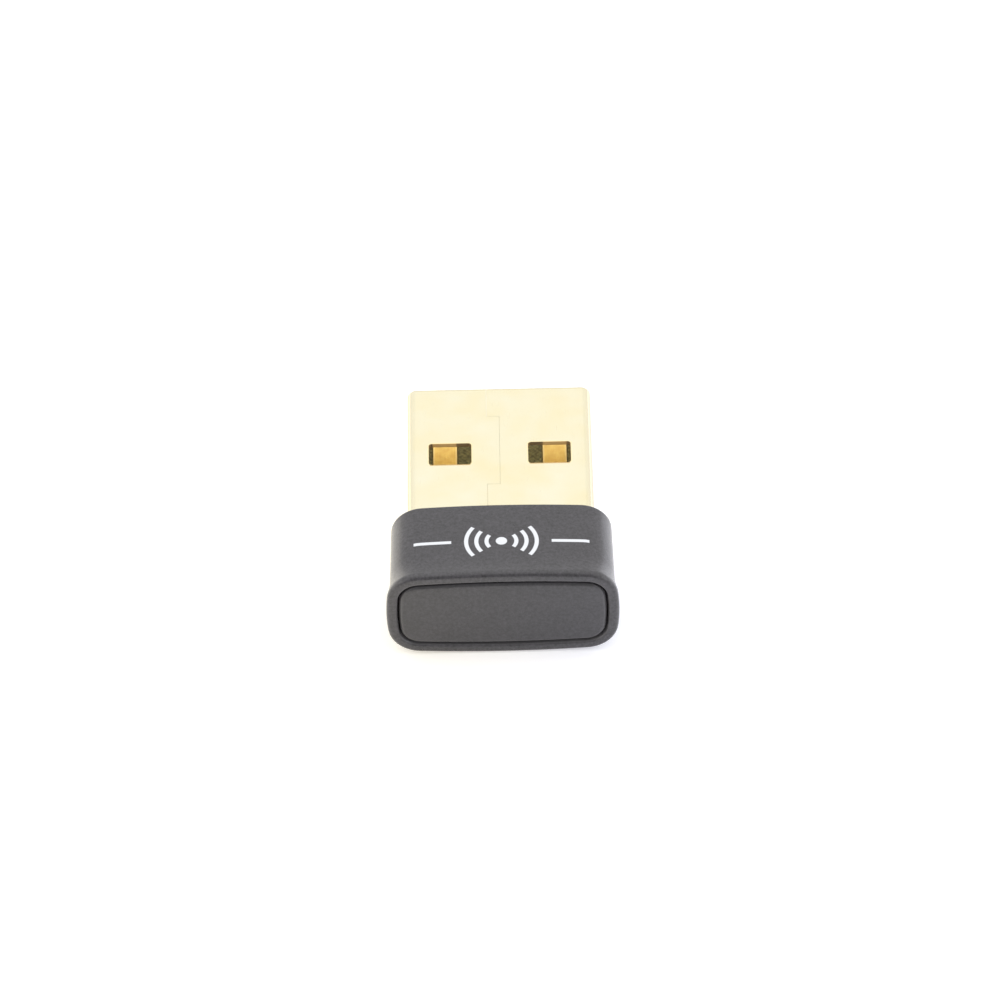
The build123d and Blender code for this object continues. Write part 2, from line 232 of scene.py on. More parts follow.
def bowedRing(rings):
    # Points round a rectangle with arcs for sides and rounded corners, for many rings at once.
    # rings has the columns y, halfWidth, halfHeight, corner, crownRadius and sideRadius. The crown
    # arc goes through the top's middle, the side arc through the side's, and the corner arc's centre
    # lies where circles of crownRadius - corner and sideRadius - corner round their centres meet.
    y, halfWidth, halfHeight, corner, crownRadius, sideRadius = (column[:, None] for column in rings.T)
    cornerX = halfWidth - sagitta(halfHeight, sideRadius)
    cornerZ = halfHeight - sagitta(halfWidth, crownRadius)
    drop = halfHeight - cornerZ
    topRadius = (cornerX**2 + drop**2) / (2 * drop)
    drop = halfWidth - cornerX
    edgeRadius = (cornerZ**2 + drop**2) / (2 * drop)
    topCentre = halfHeight - topRadius
    edgeCentre = halfWidth - edgeRadius
    first = topRadius - corner
    second = edgeRadius - corner
    span = np.hypot(edgeCentre, topCentre)
    along = (first**2 - second**2 + span**2) / (2 * span)
    aside = np.sqrt(first**2 - along**2)
    stepX, stepZ = edgeCentre / span, -topCentre / span
    roundX = stepX * along + stepZ * aside
    roundZ = topCentre + stepZ * along - stepX * aside
    topEnd = np.arctan2(roundZ - topCentre, roundX)
    edgeEnd = np.arctan2(roundZ, roundX - edgeCentre)
    top, bend, side = (np.linspace(0, 1, steps[part], endpoint=False)[None, :]
                       for part in ("crown", "corner", "side"))
    topTurn = np.pi / 2 + (topEnd - np.pi / 2) * top
    bendTurn = topEnd + (edgeEnd - topEnd) * bend
    sideTurn = edgeEnd * (1 - side)
    x = np.hstack([topRadius * np.cos(topTurn), roundX + corner * np.cos(bendTurn),
                   edgeCentre + edgeRadius * np.cos(sideTurn), halfWidth])
    z = np.hstack([topCentre + topRadius * np.sin(topTurn), roundZ + corner * np.sin(bendTurn),
                   edgeRadius * np.sin(sideTurn), 0 * halfWidth])
    # a quarter, then its mirror images in turn, without the shared points
    x = np.hstack([x, x[:, -2::-1], -x[:, 1:], -x[:, -2:0:-1]])
    z = np.hstack([z, -z[:, -2::-1], -z[:, 1:], z[:, -2:0:-1]])
    return np.stack([x, y + 0 * x, z], axis=2)


def wrapFaces(rows, columns, closed):
    # quads between neighbouring rings, each ring closed, and the last joined to the first if closed
    row = np.arange(rows if closed else rows - 1)[:, None]
    column = np.arange(columns)[None, :]
    nextRow = (row + 1) % rows
    nextColumn = (column + 1) % columns
    quads = np.stack([row * columns + column, row * columns + nextColumn,
                      nextRow * columns + nextColumn, nextRow * columns + column], axis=2)
    return quads.reshape(-1, 4).tolist()


def poleFaces(rows, columns, first, last):
    # fans from the two points that close the ends
    column = np.arange(columns)
    nextColumn = (column + 1) % columns
    start = np.stack([nextColumn, column, np.full(columns, first)], axis=1)
    base = (rows - 1) * columns
    end = np.stack([base + column, base + nextColumn, np.full(columns, last)], axis=1)
    return np.vstack([start, end]).tolist()


def closedBody(rings, centre=(0.0, 0.0)):
    # a body with a flat end at each side: the rings, and a pole in the middle of each end
    grid = bowedRing(rings) + np.array([centre[0], 0.0, centre[1]])
    rows, columns = grid.shape[:2]
    poles = np.array([[centre[0], rings[0, 0], centre[1]], [centre[0], rings[-1, 0], centre[1]]])
    points = np.vstack([grid.reshape(-1, 3), poles])
    first = rows * columns
    return points, wrapFaces(rows, columns, False) + poleFaces(rows, columns, first, first + 1)


def joined(parts):
    # several lists of points and faces as one
    points, faces, start = [], [], 0
    for partPoints, partFaces in parts:
        points.append(partPoints)
        faces += [[start + index for index in face] for face in partFaces]
        start += len(partPoints)
    return np.vstack(points), faces


def quarterTurn():
    # the sine and one minus the cosine of angles from 0 to a right angle
    angle = np.linspace(0, np.pi / 2, steps["edge"] + 1)
    return np.sin(angle), 1 - np.cos(angle)


# camera, floor and lights
view = {"azimuth": 0.171, "elevation": 43.21, "roll": 1.354, "distance": 400.0, "focalPixels": 6208.0,
        "frame": 1000, "originX": 501.526, "originY": 537.749, "sensor": 36.0, "clipStart": 0.01}


def makeCamera():
    # The camera stands at the distance from the origin along its line of sight, turned by the azimuth and
    # the elevation, then rolled. Its lens is focal pixels * sensor / frame.
    azimuth, elevation, roll = (math.radians(view[key]) for key in ("azimuth", "elevation", "roll"))
    ahead = Vector((-math.sin(azimuth) * math.cos(elevation), math.cos(azimuth) * math.cos(elevation),
                    -math.sin(elevation)))
    level = Vector((math.cos(azimuth), math.sin(azimuth), 0))
    upward = level.cross(ahead)
    right = level * math.cos(roll) - upward * math.sin(roll)
    up = level * math.sin(roll) + upward * math.cos(roll)
    camera = bpy.data.cameras.new("studioCamera")
    camera.sensor_width = view["sensor"]
    camera.lens = view["focalPixels"] * view["sensor"] / view["frame"]
    camera.clip_start = view["clipStart"]
    stand = bpy.data.objects.new("studioCamera", camera)
    # the camera aims a little off the origin, so that the origin lands on its place in the frame
    offX = (view["originX"] - view["frame"] / 2) / view["focalPixels"]
    offY = (view["originY"] - view["frame"] / 2) / view["focalPixels"]
    aim = Matrix.Rotation(math.atan(offY), 3, "X") @ Matrix.Rotation(math.atan(offX), 3, "Y")
    turn = Matrix((right, up, -ahead)).transposed() @ aim
    stand.matrix_world = Matrix.Translation(-ahead * view["distance"] * millimetre) @ turn.to_4x4()
    bpy.context.scene.collection.objects.link(stand)
    bpy.context.scene.camera = stand


# halfSize is in metres; the glow goes from warm on the left to cool on the right, over turnOver
floor = {"halfSize": 3.0, "colour": (0.86, 0.86, 0.86), "fleck": (0.8, 0.8, 0.8), "fleckSize": 0.8,
         "mottle": 0.01, "rough": 0.9, "warm": (0.50, 0.46, 0.36), "cool": (0.40, 0.41, 0.48),
         "turnOver": 16.0}


def makeFloor():
    # a square of white paper at the lowest point's height, which glows as in an overexposed photo
    level = cadBox[0].z
    half = floor["halfSize"]
    mesh = bpy.data.meshes.new("studioFloor")
    corners = [(-half, -half, level), (half, -half, level), (half, half, level), (-half, half, level)]
    mesh.from_pydata(corners, [], [(0, 1, 2, 3)])
    paper = Finish("floorPaper")
    grain = paper.noise(floor["fleckSize"])
    shade = paper.blend(grain * floor["mottle"], floor["colour"], floor["fleck"])
    side = paper.step(paper.x, 0.0, floor["turnOver"])
    glow = paper.blend(side, floor["warm"], floor["cool"])
    mesh.materials.append(paper.finish(baseColor=shade, roughness=floor["rough"], emissionColor=glow,
                                       emissionStrength=1.0))
    sheet = bpy.data.objects.new("studioFloor", mesh)
    bpy.context.scene.collection.objects.link(sheet)


# each light: where it stands in metres, its width and height, its radiance, and its colour
lights = {
    "leftBox": {"at": (-0.75, 0.0, 0.2), "size": (0.9, 0.6), "radiance": 1.06, "colour": (1.0, 0.96, 0.88)},
    "rightBox": {"at": (0.75, 0.0, 0.2), "size": (0.9, 0.6), "radiance": 0.95, "colour": (0.93, 0.96, 1.0)},
}
# the white tent all round, brighter towards its top, and the dim opening that the camera looks through
tent = {"low": 0.85, "high": 1.36, "lowAt": 0.15, "highAt": 0.8, "opening": 0.42, "innerEdge": 0.96,
        "outerEdge": 0.66}


def makeLights():
    # A lamp's power is radiance * pi * width * height. The tent's brightness at a ray is a ramp over the
    # ray's height, times a smooth step over the cosine of its angle to the camera's line of sight.
    for name, light in lights.items():
        lamp = bpy.data.lights.new(name, "AREA")
        lamp.shape = "RECTANGLE"
        lamp.size, lamp.size_y = light["size"]
        lamp.color = light["colour"]
        lamp.energy = light["radiance"] * math.pi * lamp.size * lamp.size_y
        stand = bpy.data.objects.new(name, lamp)
        stand.location = light["at"]
        stand.rotation_euler = (-Vector(light["at"])).to_track_quat("-Z", "Y").to_euler()
        bpy.context.scene.collection.objects.link(stand)
    world = bpy.data.worlds.new("studioTent")
    bpy.context.scene.world = world
    world.use_nodes = True
    sky = Nodes(world.node_tree)
    elevation = math.radians(view["elevation"])
    towards = (0.0, -math.cos(elevation), math.sin(elevation))
    ray = sky.add("ShaderNodeTexCoord", {}, {}, "Generated")
    facing = sky.add("ShaderNodeVectorMath", {"operation": "DOT_PRODUCT"}, {0: ray, 1: towards}, "Value")
    opening = sky.add("ShaderNodeMapRange", {"interpolation_type": "SMOOTHSTEP"},
                      {"Value": facing, "From Min": tent["outerEdge"], "From Max": tent["innerEdge"],
                       "To Min": 1.0, "To Max": tent["opening"]})
    level = sky.add("ShaderNodeSeparateXYZ", {}, {0: ray}, "Z")
    height = sky.add("ShaderNodeMapRange", {},
                     {"Value": level, "From Min": tent["lowAt"], "From Max": tent["highAt"],
                      "To Min": tent["low"], "To Max": tent["high"]})
    background = world.node_tree.nodes["Background"]
    sky.join(opening * height, background.inputs["Strength"])
    sky.join((1.0, 1.0, 1.0), background.inputs["Color"])
    bpy.context.scene.view_settings.view_transform = "Standard"


makeCamera()
makeFloor()
makeLights()
print("stage 2: camera, floor and lights")


# plastics: pit and fine are the mould texture's two grains, and cloud is the faint blotches' size
plastic = {
    "pit": 0.21, "pitDetail": 5.0, "pitGrit": 0.75, "pitDepth": 0.012, "pitShare": 0.85,
    "fine": 0.05, "fineDepth": 0.006, "cloud": 1.4, "cloudShare": 0.15, "contrast": 3.2,
    "paler": 1.75, "darker": 0.30, "rough": 0.42, "roughSpread": 0.1, "specular": 0.32,
    "coat": 0.85, "coatRough": 0.22,
}


def mouldedPlastic(name, colour, pitDepth=plastic["pitDepth"], contrast=plastic["contrast"]):
    # semi matt plastic from a textured mould: fine pits and faint clouds under a slightly glossy surface
    skin = Finish(name)
    grain = skin.noise(plastic["pit"], plastic["pitDetail"], roughness=plastic["pitGrit"])
    fine = skin.noise(plastic["fine"])
    cloud = skin.noise(plastic["cloud"])
    pale = tuple(plastic["paler"] * part for part in colour)
    dark = tuple(plastic["darker"] * part for part in colour)
    mottle = grain * plastic["pitShare"] + cloud * plastic["cloudShare"]
    shade = skin.blend(skin.spread(mottle, contrast), dark, pale)
    rough = plastic["rough"] + (grain + fine) * plastic["roughSpread"]
    skin.finish(specularIORLevel=plastic["specular"], coatWeight=plastic["coat"],
                coatRoughness=plastic["coatRough"])
    return skin, shade, rough, skin.bump(fine, plastic["fineDepth"], normal=skin.bump(grain, pitDepth))


# the moulded housing; the radius called straight is so long that a side bowed by it is straight
housing = {
    "length": 7.1, "backHalfWidth": 7.12, "backHalfHeight": 3.0, "backStraight": 0.3, "backRound": 0.2,
    "shoulderInsets": (0.38, 0.3), "sideTaper": 0.016, "topTaper": 0.035, "flare": 0.2,
    "flareLength": 1.9, "crownRadius": 100.0, "sideRadius": 15.0, "corner": 2.1, "straight": 2000.0,
    "rimStraight": 0.42, "rimRound": 0.28, "rimWidth": 0.7, "innerRound": 0.2, "ledge": -6.07,
    "cavity": (6.3, 2.28, 0.63), "cavityFront": -2.0, "bore": (6.03, 2.28, 0.63),
    "colour": (0.031, 0.028, 0.033), "ink": (0.80, 0.82, 0.86),
}


def outerRing(distance, inset=0.0):
    # the housing's outside at distances behind the shoulder: a straight taper, then a quadratic flare
    rimStart = housing["length"] - housing["rimStraight"]
    reach = np.minimum(distance, rimStart)
    into = np.clip((reach - rimStart + housing["flareLength"]) / housing["flareLength"], 0, 1)
    growth = housing["flare"] * into**2 - inset
    tapered = np.maximum(reach - housing["backStraight"], 0)
    halfWidth = housing["backHalfWidth"] + housing["sideTaper"] * tapered + growth
    halfHeight = housing["backHalfHeight"] + housing["topTaper"] * tapered + growth
    flat = 0 * halfWidth
    return np.stack([-distance + flat, halfWidth, halfHeight, housing["corner"] - inset + flat,
                     housing["crownRadius"] + flat, housing["sideRadius"] + flat], axis=1)


def plainRing(y, size):
    # a rounded rectangle with straight sides, given as half width, half height and corner
    y = np.atleast_1d(np.asarray(y, float))
    flat = 0 * y
    return np.stack([y, size[0] + flat, size[1] + flat, size[2] + flat, housing["straight"] + flat,
                     housing["straight"] + flat], axis=1)


def makeHousing():
    # Rings from the shoulder round its edge, along the taper and the flare, round the rim's face, and
    # back through the cap's pocket, the cavity and the bore to the shoulder. An edge of radius r is
    # rounded by steps of r * sine and r * (1 - cosine).
    length = housing["length"]
    sine, versine = quarterTurn()
    rimStart = length - housing["rimStraight"]
    flareStart = rimStart - housing["flareLength"]
    back, rim, inner = housing["backRound"], housing["rimRound"], housing["innerRound"]
    width, ledge, cavityFront = housing["rimWidth"], housing["ledge"], housing["cavityFront"]
    rings = [
        outerRing(np.zeros(3), np.array([*housing["shoulderInsets"], back + support])),
        outerRing(back * versine, back * (1 - sine)),
        outerRing(np.linspace(housing["backStraight"], flareStart, steps["taper"])),
        outerRing(np.linspace(flareStart, rimStart, steps["flare"])[1:]),
        outerRing(np.array([length - rim - support])),
        outerRing(length - rim + rim * sine, rim * versine),
        outerRing(np.full(3, length), np.array([rim + support, (rim + width - inner) / 2,
                                                width - inner - support])),
        outerRing(length - inner * versine, width - inner + inner * sine),
        outerRing(np.array([length - inner - support, -ledge + support, -ledge]), np.full(3, width)),
        plainRing([ledge, ledge + support, cavityFront - support, cavityFront], housing["cavity"]),
        plainRing([cavityFront, cavityFront + support, -support, 0.0], housing["bore"]),
        plainRing(0.0, np.array(housing["bore"]) + support),
    ]
    grid = bowedRing(np.vstack(rings))
    rows, columns = grid.shape[:2]
    return grid.reshape(-1, 3), wrapFaces(rows, columns, True)


printMark = {"centreY": -3.6, "dot": 0.36, "arcs": (0.95, 1.6, 2.25), "stroke": 0.26, "spread": 0.75,
             "lineStart": 3.2, "lineEnd": 5.6, "soft": 0.03, "above": 2.6}


def printMask(skin):
    # a plain radio wave mark: a dot, arcs to its left and right, and a thin line beyond them
    mark = printMark
    x, y = skin.x, skin.y - mark["centreY"]
    reach = (x * x + y * y)**0.5
    inside = 1 - skin.step(reach, mark["dot"], mark["soft"])
    wedge = skin.step(abs(x) * mark["spread"] - abs(y), 0.0, mark["soft"])
    for radius in mark["arcs"]:
        band = 1 - skin.step(abs(reach - radius), mark["stroke"] / 2, mark["soft"])
        inside = inside.most(band * wedge)
    middle = (mark["lineStart"] + mark["lineEnd"]) / 2
    half = (mark["lineEnd"] - mark["lineStart"]) / 2
    line = (1 - skin.step(abs(abs(x) - middle), half, mark["soft"])) * (
        1 - skin.step(abs(y), mark["stroke"] / 2, mark["soft"]))
    return inside.most(line) * skin.step(skin.z, mark["above"], mark["soft"])


# the groove's dust with painted fill light, a paler colour: thin above the lit level, where the groove is
# lit from above, and thick under it, where it lies in shade, from depth behind the rim's face to end
groove = {"dust": (0.17, 0.165, 0.17), "depth": 0.1, "soft": 0.16, "midInset": 0.35, "edge": 0.04,
          "thin": 0.14, "thick": 0.6, "settled": 1.7, "fade": 0.8, "end": -5.9}


def dustAndFillLight(skin, shade, inside):
    # fine dust in the groove with painted fill light that lifts its shade, from a little below the rim's
    # face on, and thinner in its upper run, which is lit from above: share = thick + (thin - thick) *
    # step(z)
    upper = skin.step(skin.z, groove["settled"], groove["fade"])
    share = upper * (groove["thin"] - groove["thick"]) + groove["thick"]
    below = skin.step(skin.y + housing["length"], groove["depth"], groove["soft"])
    return skin.blend(inside * below * share, shade, groove["dust"])


def housingFinish():
    # Plastic with dust and painted fill light inside the rim's middle line and the printed mark on top. The
    # bows are taken out, x + z * z / (2 * sideRadius) and z + x * x / (2 * crownRadius), so that the line
    # is a plain rounded rectangle.
    skin, shade, rough, normal = mouldedPlastic("housingPlastic", housing["colour"])
    acrossX = abs(skin.x) + skin.z * skin.z / (2 * housing["sideRadius"])
    upZ = abs(skin.z) + skin.x * skin.x / (2 * housing["crownRadius"])
    rim = outerRing(np.array([housing["length"]]), np.array([groove["midInset"]]))[0]
    inside = 1 - skin.step(roundedDistance(acrossX, upZ, rim[1:3], rim[3]), 0.0, groove["edge"])
    inside = inside * (1 - skin.step(skin.y, groove["end"], groove["edge"]))
    # dust with painted fill light in the groove
    shade = dustAndFillLight(skin, shade, inside)
    ink = printMask(skin)
    return skin.finish(baseColor=skin.blend(ink, shade, housing["ink"]), roughness=rough, normal=normal)


points, faces = makeHousing()
housingPiece = makePiece("housingBody", points, faces, housingFinish())
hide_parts("housing")
print("stage 3: housing")

# the flat panel that closes the rim, with its skirt, posts, rests and snap beads
endCap = {
    "gap": 0.12, "recess": 0.03, "edgeRound": 0.27, "draftGap": 0.03, "draftDepth": 0.5,
    "faceShares": (0.12, 0.4, 0.7, 0.9, 1.0), "backShares": (0.5, 0.1), "skirt": (6.25, 2.23, 0.58),
    "skirtEnd": -4.67, "skirtInside": (5.65, 1.63, 0.2), "postSpan": (5.5, 6.25), "postEnd": -2.85,
    "postHalfHeight": 1.6, "restX": (3.1, 3.9), "restEnd": -4.8, "restAbove": (0.09, 1.93),
    "restBelow": (-1.93, -0.64), "beadY": -5.22, "beadZ": 2.06, "beadRadius": 0.3, "beadRound": 0.98,
    "beadHalf": 2.5, "blockCorner": 0.06, "colour": (0.021, 0.0185, 0.0225), "pitDepth": 0.010,
}


def shrunk(rings, share):
    # the same outlines about the axis, each drawn smaller by its share
    smaller = np.repeat(rings, len(share), axis=0)
    smaller[:, 1:] *= np.asarray(share)[:, None]
    return smaller


def block(xRange, yRange, zRange):
    # a bar along the plug's axis between two limits on each axis, with small rounded long edges
    centre = (sum(xRange) / 2, sum(zRange) / 2)
    size = ((xRange[1] - xRange[0]) / 2, (zRange[1] - zRange[0]) / 2, endCap["blockCorner"])
    return closedBody(plainRing([min(yRange), max(yRange)], size), centre)


def makeEndCap():
    # The panel's rings go from its face's middle round its edge, down its drafted side, along the skirt's
    # outside and back through its inside. Each side also has a post, two rests and a snap bead, which
    # is a bar along y with its axes swapped, so that it lies along x.
    cap, ledge = endCap, housing["ledge"]
    front = housing["length"] - cap["recess"]
    sine, versine = quarterTurn()
    inset = housing["rimWidth"] + cap["gap"]
    edge, drafted = cap["edgeRound"], housing["rimWidth"] + cap["draftGap"]
    flat = outerRing(np.array([front]), np.array([inset + edge + support]))
    back = plainRing([ledge], cap["skirtInside"])
    rings = [
        shrunk(flat, cap["faceShares"]),
        outerRing(front - edge * versine, inset + edge * (1 - sine)),
        outerRing(np.array([front - edge - support, front - cap["draftDepth"], -ledge + support, -ledge]),
                  np.array([inset, drafted, drafted, drafted])),
        plainRing([ledge, ledge + support, cap["skirtEnd"]], cap["skirt"]),
        plainRing([cap["skirtEnd"], ledge], cap["skirtInside"]),
        shrunk(back, cap["backShares"]),
    ]
    parts = [closedBody(np.vstack(rings))]
    for side in (-1, 1):
        post = sorted(side * x for x in cap["postSpan"])
        parts.append(block(post, (ledge, cap["postEnd"]), (-cap["postHalfHeight"], cap["postHalfHeight"])))
        rest = sorted(side * x for x in cap["restX"])
        for level in (cap["restAbove"], cap["restBelow"]):
            parts.append(block(rest, (ledge, cap["restEnd"]), level))
        radius = cap["beadRadius"]
        bar = plainRing([-cap["beadHalf"], cap["beadHalf"]], (radius, radius, radius * cap["beadRound"]))
        points, faces = closedBody(bar)
        place = np.array([0.0, cap["beadY"], side * cap["beadZ"]])
        parts.append((points[:, [1, 0, 2]] + place, faces))
    return joined(parts)


def endCapFinish():
    # the housing's plastic a little darker, with the groove's dust and painted fill light on all that lies
    # behind its face
    skin, shade, rough, normal = mouldedPlastic("panelPlastic", endCap["colour"], endCap["pitDepth"])
    shade = dustAndFillLight(skin, shade, 1.0)
    return skin.finish(baseColor=shade, roughness=rough, normal=normal)


points, faces = makeEndCap()
capPiece = makePiece("endPanel", points, faces, endCapFinish())
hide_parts("end_cap")
print("stage 4: end cap")

# the plug's folded sheet: windows lie in its wide faces, locks in its sides; rows are limits along y
plug = {
    "halfWidth": 6.0, "halfHeight": 2.25, "corner": 0.6, "sheet": 0.3, "back": -1.98, "tip": 12.0,
    "lipLength": 0.26, "lipDrop": 0.18, "lipBow": 0.96, "lipSteps": 7, "foldSteps": 8,
    "extraRows": (0.8, 7.45, 10.5), "seamGap": 0.008, "tabDepth": 0.83, "tabRows": (2.7, 9.2),
    "windowPitch": 6.45, "windowCentre": 5.63, "windowHalf": (1.375, 1.0), "windowCorner": 0.2,
    "cellMargin": 0.35, "marginSteps": 6, "sideSteps": 9, "patchShares": (0.0, 0.35, 0.7, 1.0),
    "lockRows": (-1.4, -0.4), "lockLevels": (-1.2, -0.2), "edgeBevel": 0.016, "bevelSegments": 2,
    "bevelAngle": 40,
}


def foldedPlace(s):
    # The folded sheet's outline by its length from the top's middle. Each stretch starts at a known
    # point and heading: a straight one runs on along it, and a fold turns it by its length over the radius.
    radius = plug["corner"]
    across = 2 * (plug["halfWidth"] - radius)
    down = 2 * (plug["halfHeight"] - radius)
    turn = np.pi / 2 * radius
    lengths = np.array([across / 2, turn, down, turn, across, turn, down, turn, across / 2])
    bends = np.array([0, 1, 0, 1, 0, 1, 0, 1, 0]) / radius
    starts = np.concatenate([[0], np.cumsum(lengths)])
    headings = np.concatenate([[0], np.cumsum(lengths * bends)])[:-1]
    stepX = np.where(bends > 0, radius * (np.sin(headings + lengths * bends) - np.sin(headings)),
                     lengths * np.cos(headings))
    stepZ = np.where(bends > 0, radius * (np.cos(headings + lengths * bends) - np.cos(headings)),
                     -lengths * np.sin(headings))
    startX = np.concatenate([[0], np.cumsum(stepX)])[:-1]
    startZ = plug["halfHeight"] + np.concatenate([[0], np.cumsum(stepZ)])[:-1]
    around = np.mod(s, starts[-1])
    part = np.clip(np.searchsorted(starts, around, side="right") - 1, 0, len(lengths) - 1)
    along = around - starts[part]
    heading, bend = headings[part], bends[part]
    angle = heading + along * bend
    x = np.where(bend > 0, radius * (np.sin(angle) - np.sin(heading)), along * np.cos(heading))
    z = np.where(bend > 0, radius * (np.cos(angle) - np.cos(heading)), -along * np.sin(heading))
    return startX[part] + x, startZ[part] + z, angle, starts


def sheetPoints(s, y):
    # the sheet's outer face at unrolled places, which curls inwards over the last stretch before the tip
    # by lipDrop * (1 - sqrt(1 - lipBow * lip * lip)), where lip goes from 0 to 1
    x, z, angle, starts = foldedPlace(s)
    lip = np.clip((y - plug["tip"] + plug["lipLength"]) / plug["lipLength"], 0, 1)
    drop = plug["lipDrop"] * (1 - np.sqrt(1 - plug["lipBow"] * lip**2))
    return np.stack([x - drop * np.sin(angle), y, z - drop * np.cos(angle)], axis=-1)


def cellLines(centre, half):
    # grid lines across a window's cell, close together near its corners
    inner, outer = half - plug["windowCorner"], half + plug["cellMargin"]
    lines = np.concatenate([np.linspace(-outer, -inner, plug["marginSteps"]),
                            np.linspace(-inner, inner, plug["sideSteps"])[1:-1],
                            np.linspace(inner, outer, plug["marginSteps"])])
    return centre + lines


def windowPatch(centre, faceStart):
    # The ring between a window and its cell: each point of the cell's border is drawn towards the
    # nearest point of the rounded window, by one share for each row.
    halfS, halfY = plug["windowHalf"]
    lineS, lineY = cellLines(centre, halfS), cellLines(plug["windowCentre"], halfY)
    ends = [np.stack([lineS, np.full(len(lineS), lineY[0])], 1)[:-1],
            np.stack([np.full(len(lineY), lineS[-1]), lineY], 1)[:-1],
            np.stack([lineS[::-1], np.full(len(lineS), lineY[-1])], 1)[:-1],
            np.stack([np.full(len(lineY), lineS[0]), lineY[::-1]], 1)[:-1]]
    border = np.vstack(ends)
    middle = np.array([centre, plug["windowCentre"]])
    reach = np.array([halfS, halfY]) - plug["windowCorner"]
    core = middle + np.clip(border - middle, -reach, reach)
    ray = border - core
    rim = core + plug["windowCorner"] * ray / np.linalg.norm(ray, axis=1)[:, None]
    shares = np.array(plug["patchShares"])[:, None, None]
    rings = border + (rim - border) * shares
    rows, columns = rings.shape[:2]
    faces = np.array(wrapFaces(rows, columns, False)) + faceStart
    return sheetPoints(rings[..., 0].ravel(), rings[..., 1].ravel()), faces.tolist()


def same(first, second):
    # whether two places along the sheet are one, within the tolerance
    return abs(first - second) < tolerance


def makePlug():
    # A grid over the unrolled sheet, s round it and y along the plug, with a line at each edge, fold,
    # window and lock. Grid faces in the windows' cells, in the locks and beyond the seam are left out,
    # and a patch fills each cell round its window.
    starts = foldedPlace(np.zeros(1))[3]
    around = starts[-1]
    tab, gap = plug["tabDepth"], plug["seamGap"] / 2
    near, far = plug["tabRows"]
    offset = plug["windowPitch"] / 2
    centres = [offset, around / 2 - offset, around / 2 + offset, around - offset]
    folds = np.concatenate([np.linspace(starts[i], starts[i + 1], plug["foldSteps"] + 1)
                            for i in (1, 3, 5, 7)])
    lockDown = plug["halfHeight"] - plug["corner"] - np.array(plug["lockLevels"])
    locks = np.concatenate([starts[2] + lockDown, starts[7] - lockDown])
    lineS = np.concatenate([[-tab, -tab / 2, 0.0, around - tab, around - tab / 2, around], folds, locks,
                            [around / 2], *[cellLines(c, plug["windowHalf"][0]) for c in centres]])
    lip = plug["tip"] - plug["lipLength"] * np.cos(np.linspace(0, np.pi / 2, plug["lipSteps"]))
    lineY = np.concatenate([[plug["back"], near, far], plug["extraRows"], plug["lockRows"], lip,
                            cellLines(plug["windowCentre"], plug["windowHalf"][1])])
    lineS, lineY = np.unique(np.round(lineS, 6)), np.unique(np.round(lineY, 6))
    s, y = np.meshgrid(lineS, lineY)
    middleS, middleY = (s[:-1, :-1] + s[1:, 1:]) / 2, (y[:-1, :-1] + y[1:, 1:]) / 2
    inTab = (middleY > near) & (middleY < far)
    kept = np.where(inTab, middleS > 0, middleS < around - tab)
    halfS, halfY = (half + plug["cellMargin"] for half in plug["windowHalf"])
    for centre in centres:
        kept &= (abs(middleS - centre) > halfS) | (abs(middleY - plug["windowCentre"]) > halfY)
    inLock = (middleY > plug["lockRows"][0]) & (middleY < plug["lockRows"][1])
    for low, high in (np.sort(locks[:2]), np.sort(locks[2:])):
        kept &= ~(inLock & (middleS > low) & (middleS < high))
    # the seam's two lips draw apart: sideways along its length, and along the axis at the tab's ends
    rowTab = (y >= near - tolerance) & (y <= far + tolerance)
    rowPlain = (y <= near + tolerance) | (y >= far - tolerance)
    shiftS = gap * ((same(s, -tab) & rowPlain) | (same(s, 0) & rowTab))
    shiftS = shiftS - gap * ((same(s, around - tab) & rowPlain) | (same(s, around) & rowTab))
    side = 1.0 * (s < tolerance) - 1.0 * (s > around - tab - tolerance)
    shiftY = gap * side * (1.0 * same(y, far) - 1.0 * same(y, near))
    points = sheetPoints((s + shiftS).ravel(), (y + shiftY).ravel())
    columns = len(lineS)
    row, column = np.nonzero(kept)
    corner = row * columns + column
    faces = np.stack([corner, corner + 1, corner + columns + 1, corner + columns], 1).tolist()
    parts = [points]
    for centre in centres:
        patch, patchFaces = windowPatch(centre, sum(len(part) for part in parts))
        parts.append(patch)
        faces += patchFaces
    return np.vstack(parts), faces


def nodeSpan(name):
    # a CAD node's middle and half size on each axis, in millimetres
    low, high = (np.array(corner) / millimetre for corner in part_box(name))
    return (low + high) / 2, (high - low) / 2


# the plug's gold: each edge is a place and the width that it fades over
plating = {
    "colour": (0.80, 0.757, 0.578), "deep": (0.80, 0.70, 0.425), "cloud": 2.6, "cloudDetail": 3.0,
    "cloudContrast": 2.2, "cloudShare": 0.6, "scratch": 0.09, "scratchDetail": 1.0,
    "scratchStretch": (1.0, 14.0, 1.0), "scratchEdge": (0.74, 0.06), "scratchShare": 0.25,
    "scratchDepth": 0.4, "scratchRough": 0.1, "rolling": 0.06, "rollingDetail": 3.0,
    "rollingStretch": (1.0, 24.0, 1.0), "rollingRough": 0.08, "rollingDepth": 0.0010, "rough": 0.20,
    # painted light and shade: a paler colour where the folds begin, and a darker one on the sides
    "drawn": (0.97, 0.89, 0.65), "drawnEdge": (5.67, 0.22), "folded": (0.66, 0.58, 0.385),
    "foldEdge": (5.88, 0.1), "inner": (0.97, 0.82, 0.50), "innerEdge": (0.0, 0.02),
    # a paler ring round each window, a painted highlight
    "halo": (0.99, 0.84, 0.42), "haloEdge": (0.08, 0.12), "haloShare": 0.5,
    "wall": (0.50, 0.36, 0.20), "wallEdge": (0.018, 0.02), "wallRough": 0.25, "wallDull": 0.35,
    "litWall": (1.0, 0.66, 0.27), "litSoft": 0.1, "litDull": 0.5,
    "rolled": (0.55, 0.36, 0.14), "rolledReach": 0.06, "rolledSoft": 0.08,
}


